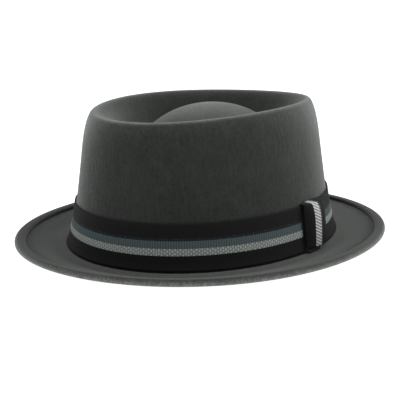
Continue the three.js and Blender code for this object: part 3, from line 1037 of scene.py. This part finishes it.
@dataclass
class Bow:
    """The flat bow at the wearer's left: a puffed keeper over the band, and the ribbon's end under it."""

    band: RibbonBand
    finish: StripedRibbon
    angle: float = 88.5
    lean: float = 4.0
    keeper_width: float = 22.0
    keeper_thickness: float = 1.0
    keeper_puff: float = 5.6
    keeper_overhang: float = 0.6
    underlay_width: float = 13.0
    underlay_shift: float = -5.0
    underlay_flare: float = 3.0
    silver_across: float = -0.43
    cord_height: float = 0.1
    keeper_columns: int = 61
    underlay_columns: int = 31
    # Shares of the ribbon's width that show on the underlay, from its front to its back
    underlay_share: tuple[float, float] = (0.02, 0.25)
    # How squarely a strip's sides are rounded, its least thickness there, and the sharp edges' angle in degrees
    side_power: int = 14
    side_share: float = 0.25
    sharp_angle: float = 70.0

    # Share of the way out to the keeper's face, share of the overhang, share of the puff
    hook_rows: Rows = ((0.0, 1.0, 0.0), (0.6, 0.95, 0.2), (1.0, 0.5, 0.55))
    # Share of the ribbon's width down from its top edge, share of the puff
    face_rows: Rows = (
        (0.05, 0.8), (0.14, 0.93), (0.25, 1.0), (0.45, 0.96), (0.65, 0.86), (0.8, 0.74), (0.88, 0.62),
    )
    # Share of the ribbon's width down from its top edge, share of the flare
    underlay_rows: Rows = ((0.15, 0.0), (0.6, 0.0), (0.86, 0.0), (0.96, 0.3), (1.0, 1.0))
    # Place across the keeper from -1 to 1, share of the puff
    section: Rows = (
        (-1.0, 0.08), (-0.75, 0.5), (-0.43, 0.78), (-0.2, 0.93), (0.05, 1.0), (0.25, 0.84), (0.44, 0.72),
        (0.7, 0.7), (1.0, 0.68),
    )

    @property
    def _underlay_offset(self) -> float:
        """Distance from the felt to the underlay's back."""
        return 2 * self.band.clearance + self.band.thickness

    @property
    def _keeper_offset(self) -> float:
        """Distance from the felt to the keeper's back."""
        return self._underlay_offset + self.band.thickness + self.band.clearance

    def turns(self, length: Array, height: Array) -> Array:
        """Turns at some places on the wall. The bow's foot leans to the front.

        Args:
            length: Lengths from the bow's middle to the back, in millimetres.
            height: Heights over the floor, in a shape that fits.
        Returns:
            The turns.
        """
        felt, middle = self.band.felt, math.radians(self.angle)
        speed = math.hypot(felt.foot_width / 2 * math.cos(middle), felt.foot_length / 2 * math.sin(middle))
        shift = self.lean * ((height - self.band.bottom) / self.finish.width - 0.5)
        return middle + (length + shift) / speed

    def _strip(self, name: str, rows: Array, width: float, shift: float, share: Array) -> Piece:
        """Build one strip of ribbon that hangs down the wall.

        Args:
            name: Name of the piece.
            rows: Outer offset and height, inner offset and height, and puff of each row, from the top down.
            width: Width of the strip.
            shift: Shift of its middle to the back.
            share: Place on the striped ribbon's width for each point across the strip.
        Returns:
            The piece.
        """
        across = np.linspace(-1.0, 1.0, len(share))
        profile = spline(np.array(self.section), np.linspace(0, len(self.section) - 1, 200))
        swell = np.interp(across, profile[:, 0], profile[:, 1])
        bend = np.sqrt(np.clip(1 - np.abs(across) ** self.side_power, 0, 1))
        outer_offset, inner_offset = (rows[:, column:column + 1] + rows[:, 4:5] * swell for column in (0, 2))
        middle = (outer_offset + inner_offset) / 2
        half = (outer_offset - inner_offset) / 2 * np.maximum(bend, self.side_share)
        length = shift + across[None, :] * width / 2
        outer, inner = (
            self.band.felt.wall(self.turns(length, height), height, offset)
            for height, offset in ((rows[:, 1:2], middle + half), (rows[:, 3:4], middle - half))
        )
        rings = np.concatenate([outer, inner[:, ::-1]], axis=1)
        along = lengths(rows[:, 0:2])
        shares = np.concatenate([share, share[::-1], share[:1]])
        surface = (along[:, None] / DECIMETRE, shares[None, :])
        face = np.concatenate([np.clip(bend * 1.3, 0, 1), np.zeros(len(across))])
        mesh = grid_mesh(name, rings, surface, {"along": along[:, None], "outside": face[None, :]}, caps=True)
        mesh.set_sharp_from_angle(angle=math.radians(self.sharp_angle))
        piece = self.band.cords.cord(name, mesh, self.finish, self.cord_height)
        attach(piece, BODY)
        return piece

    @staticmethod
    def _even(rows: Array, step: float) -> Array:
        """Space rows evenly along the smooth curve through them.

        Args:
            rows: Rows as _strip takes them.
            step: Length between two rows, in millimetres.
        Returns:
            The even rows.
        """
        fine = spline(rows, np.linspace(0, len(rows) - 1, 60 * len(rows)))
        length = lengths(fine[:, 0:2])
        even = np.linspace(0.0, length[-1], max(4, round(length[-1] / step)))
        return np.stack([np.interp(even, length, fine[:, column]) for column in range(fine.shape[1])], axis=1)

    @staticmethod
    def _closed_foot(rows: Array) -> Array:
        """Add a rounded lower end, where the outer and the inner face meet.

        Args:
            rows: Rows as _strip takes them.
        Returns:
            The rows with three more.
        """
        outer, foot, inner, _, puff = rows[-1]
        middle, half = (outer + inner) / 2, (outer - inner) / 2
        ends = []
        for angle in np.radians([30.0, 55.0, 75.0]):
            height, reach = foot - half * math.sin(angle), half * math.cos(angle)
            ends.append([middle + reach, height, middle - reach, height, puff])
        return np.vstack([rows, ends])

    def build_keeper(self) -> Piece:
        """Build the keeper, which hooks over the band's upper edge and hangs down its face.

        Returns:
            The piece, riding on the hat's body in place of the plain keeper.
        """
        out, back = self._keeper_offset + self.keeper_thickness, self._keeper_offset
        gap, swell = self.band.clearance, self.keeper_puff
        hook = self.band.top + gap
        rows = []
        for reach, rise, puff in self.hook_rows:
            outer, inner = (gap + (end - gap) * reach for end in (out, back))
            rows.append((outer, hook + self.keeper_overhang * rise, inner, hook, swell * puff))
        for down, puff in self.face_rows:
            height = self.band.top - self.finish.width * down
            rows.append((out, height, back, height, swell * puff))
        even = self._closed_foot(self._even(np.array(rows), self.finish.rib_pitch / 5))
        across = np.linspace(-1.0, 1.0, self.keeper_columns)
        beside = (across - self.silver_across) * self.keeper_width / 2
        share = self.finish.silver_from + beside / self.finish.width
        piece = self._strip("bow_keeper_dressed", even, self.keeper_width, 0.0, share)
        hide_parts("bow_keeper")
        return piece

    def build_underlay(self) -> Piece:
        """Build the ribbon's end, whose black edge shows under the keeper.

        Returns:
            The piece, riding on the hat's body in place of the plain underlay.
        """
        back, thickness = self._underlay_offset, self.band.thickness
        rows = []
        for down, flare in self.underlay_rows:
            height = self.band.top - self.finish.width * down
            offset, turned = back + self.underlay_flare * flare, thickness * flare
            rows.append((offset + thickness - turned / 2, height + turned, offset, height, 0.0))
        even = self._even(np.array(rows), self.finish.rib_pitch / 4)
        share = np.linspace(*self.underlay_share, self.underlay_columns)
        piece = self._strip("bow_underlay_dressed", even, self.underlay_width, self.underlay_shift, share)
        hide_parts("bow_underlay")
        return piece


class TackTree(PieceTree):
    """Sets one bent strand of thread at each point of a path."""

    # Shares of half a strand's length: how far its ends go in, and how far its middle bulges out
    ends_in: float = 0.35
    bulge: float = 0.75
    tilt: Place = (0.12, 0.12, 0.1)

    def __init__(self) -> None:
        """Build the tree."""
        sizes = {"Strand length in m": "Float", "Strand radius in m": "Float"}
        super().__init__("tack_stitches", {"Strands": "Int", **sizes, "Seed": "Int"})
        book, given, made = self.book, self.given, self.book.made
        path = made("GeometryNodeMeshToCurve", {"Mesh": given["Mesh"]})
        spots = made("GeometryNodeResampleCurve", {"Curve": path, "Count": given["Strands"]})
        half = Signal(book, given["Strand length in m"]) * 0.5
        low, middle, high = (
            made("ShaderNodeCombineXYZ", place)
            for place in (
                {"X": half * -self.ends_in, "Z": half * -1.0},
                {"X": half * self.bulge},
                {"X": half * -self.ends_in, "Z": half},
            )
        )
        bent = {"Resolution": 9, "Start": low, "Middle": middle, "End": high}
        round_ring = {"Resolution": 8, "Radius": given["Strand radius in m"]}
        arc = made("GeometryNodeCurveQuadraticBezier", bent)
        ring = made("GeometryNodeCurvePrimitiveCircle", round_ring)
        strand = made("GeometryNodeCurveToMesh", {"Curve": arc, "Profile Curve": ring, "Fill Caps": True})
        smooth = made("GeometryNodeSetShadeSmooth", {"Geometry": strand})
        spread = {"Min": tuple(-part for part in self.tilt), "Max": self.tilt, "Seed": given["Seed"]}
        turn = book.add("FunctionNodeRandomValue", {"data_type": "FLOAT_VECTOR"}, spread).outputs["Value"]
        put = {"Points": spots, "Instance": smooth, "Rotation": turn}
        self._close(made("GeometryNodeInstanceOnPoints", put))


@dataclass
class TackStitches:
    """The short black stitches that hold the band's lower edge to the felt in front of the keeper."""

    bow: Bow
    finish: BlackThread
    strands: int = 3
    strand_gap: float = 0.42
    strand_height: float = 2.0
    strand_radius: float = 0.24
    keeper_gap: float = 0.8
    above: float = 0.1
    seed: int = 5

    def build(self) -> Piece:
        """Build the stitches.

        Returns:
            The piece, riding on the hat's body.
        """
        band = self.bow.band
        reach = self.strand_gap * (self.strands - 1)
        length = -self.bow.keeper_width / 2 - self.keeper_gap + np.array([0.0, reach])
        height = np.full(2, band.bottom + self.above)
        offset = np.full(2, band.clearance + band.thickness + self.above)
        ends = band.felt.wall(self.bow.turns(length, height), height, offset) * MM
        mesh = bpy.data.meshes.new("tack_path")
        mesh.from_pydata(ends.tolist(), [(0, 1)], [])
        values = {
            "Strands": self.strands,
            "Strand length in m": self.strand_height * MM,
            "Strand radius in m": self.strand_radius * MM,
            "Seed": self.seed,
        }
        piece = TackTree().apply("bow_tack_stitches", mesh, self.finish.material(), values)
        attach(piece, BODY)
        return piece


def put_in_studio(name: str, data: bpy.types.ID, place: Place, turned: Matrix) -> Piece:
    """Put a lamp or a camera in the scene.

    Args:
        name: Its name.
        data: The lamp or camera.
        place: Where it stands, in metres.
        turned: How it is turned.
    Returns:
        The new object.
    """
    hung = bpy.data.objects.new(name, data)
    hung.matrix_world = Matrix.Translation(place) @ turned.to_4x4()
    bpy.context.scene.collection.objects.link(hung)
    return hung


@dataclass(frozen=True)
class StudioLamp:
    """One soft lamp. Its places are in metres and its power in watts."""

    name: str
    kind: str
    place: Place
    power: float
    settings: tuple[tuple[str, object], ...]
    target: Place = (0.0, 0.0, 0.04)

    def hang(self) -> None:
        """Hang the lamp and turn it to its target."""
        lamp = bpy.data.lights.new(self.name, self.kind)
        for setting, value in (*self.settings, ("energy", self.power)):
            setattr(lamp, setting, value)
        aim = Vector(self.target) - Vector(self.place)
        put_in_studio(self.name, lamp, self.place, aim.to_track_quat("-Z", "Y").to_matrix())


def softbox(name: str, place: Place, size: float, power: float) -> StudioLamp:
    """Round soft box of a given size in metres."""
    return StudioLamp(name, "AREA", place, power, (("shape", "DISK"), ("size", size)))


@dataclass(frozen=True)
class Studio:
    """Pale floor, soft light and the camera."""

    floor: PaleFloor = PaleFloor()
    # Length of the floor's sides in metres, and its height in millimetres
    floor_size: float = 16.0
    floor_height: float = -0.1
    sky: float = 0.63
    lamps: tuple[StudioLamp, ...] = (
        softbox("overhead_softbox", (0.0, 0.0, 1.6), 1.2, 3.0),
        softbox("back_softbox", (-0.606, 0.917, 1.2), 1.2, 4.0),
        softbox("right_softbox", (1.334, 0.882, 0.6), 1.0, 5.0),
        StudioLamp(
            "top_lamp", "SPOT", (-0.05, 0.08, 1.1), 50.0,
            (("spot_size", math.radians(14.0)), ("spot_blend", 1.0), ("shadow_soft_size", 0.08)),
            (0.0, 0.0, 0.08),
        ),
    )
    azimuth: float = 33.45
    elevation: float = 13.7
    roll: float = -1.09
    distance: float = 699.24
    # Focal length and width of the picture, in its pixels
    focal_pixels: float = 995.38
    image_pixels: float = 400.0
    target_height: float = 23.85
    target_right: float = -2.25
    sensor: float = 36.0

    def build(self) -> None:
        """Set the floor, the lamps and the camera."""
        half, low = self.floor_size / 2, self.floor_height * MM
        mesh = bpy.data.meshes.new("floor")
        corners = [(x * half, y * half, low) for x, y in ((-1, -1), (1, -1), (1, 1), (-1, 1))]
        mesh.from_pydata(corners, [], [(0, 1, 2, 3)])
        place_piece("floor", mesh, self.floor.material())
        world = bpy.data.worlds.new("white_room")
        world.use_nodes = True
        sky = {"Color": (*WHITE, 1.0), "Strength": self.sky}
        NodeBook(world.node_tree).feed(world.node_tree.nodes["Background"], sky)
        bpy.context.scene.world = world
        for lamp in self.lamps:
            lamp.hang()
        self._camera()
        bpy.context.scene.view_settings.view_transform = "Standard"

    def _camera(self) -> None:
        """Set the camera at the photograph's angle."""
        turn, rise, roll = (math.radians(value) for value in (self.azimuth, self.elevation, self.roll))
        back = Vector((math.sin(turn) * math.cos(rise), -math.cos(turn) * math.cos(rise), math.sin(rise)))
        right = Vector((math.cos(turn), math.sin(turn), 0.0))
        up = back.cross(right)
        tilted = math.cos(roll) * right + math.sin(roll) * up
        upright = math.cos(roll) * up - math.sin(roll) * right
        target = Vector((0.0, 0.0, self.target_height)) + right * self.target_right
        place = (target + back * self.distance) * MM
        lens = bpy.data.cameras.new("camera")
        lens.sensor_width = self.sensor
        lens.lens = self.focal_pixels / self.image_pixels * self.sensor
        turned = Matrix((tilted, upright, back)).transposed()
        bpy.context.scene.camera = put_in_studio("camera", lens, place, turned)


def report(piece: Piece) -> None:
    """Log a finished piece's size.

    Args:
        piece: The piece.
    """
    piece.data.calc_loop_triangles()
    sides = [round(side / MM, 1) for side in piece.dimensions]
    log.info("%s: %d triangles, %s mm", piece.name, len(piece.data.loop_triangles), sides)


def main() -> None:
    """Build the hat's pieces in order, then the studio."""
    felt = FeltBody(WoolFelt())
    report(felt.build())
    band = RibbonBand(felt, CordedRibs(), StripedRibbon(Weave.DIAMOND))
    report(band.build())
    # The bow's ribbon has its own stripe widths and weave; its silver and silver shade are painted lighter than
    # the band's, as painted light where the keeper faces the lamps on the right
    bow_ribbon_lit_silver = StripedRibbon(
        Weave.DIAGONAL,
        twill_pitch=1.97,
        silver_to=0.505,
        slate_to=0.55,
        navy_to=0.58,
        silver=(0.55, 0.57, 0.55),
        silver_shade=(0.15, 0.155, 0.16),
    )
    bow = Bow(band, bow_ribbon_lit_silver)
    report(bow.build_underlay())
    report(bow.build_keeper())
    report(TackStitches(bow, BlackThread()).build())
    Studio().build()


if __name__ == "__main__":
    main()
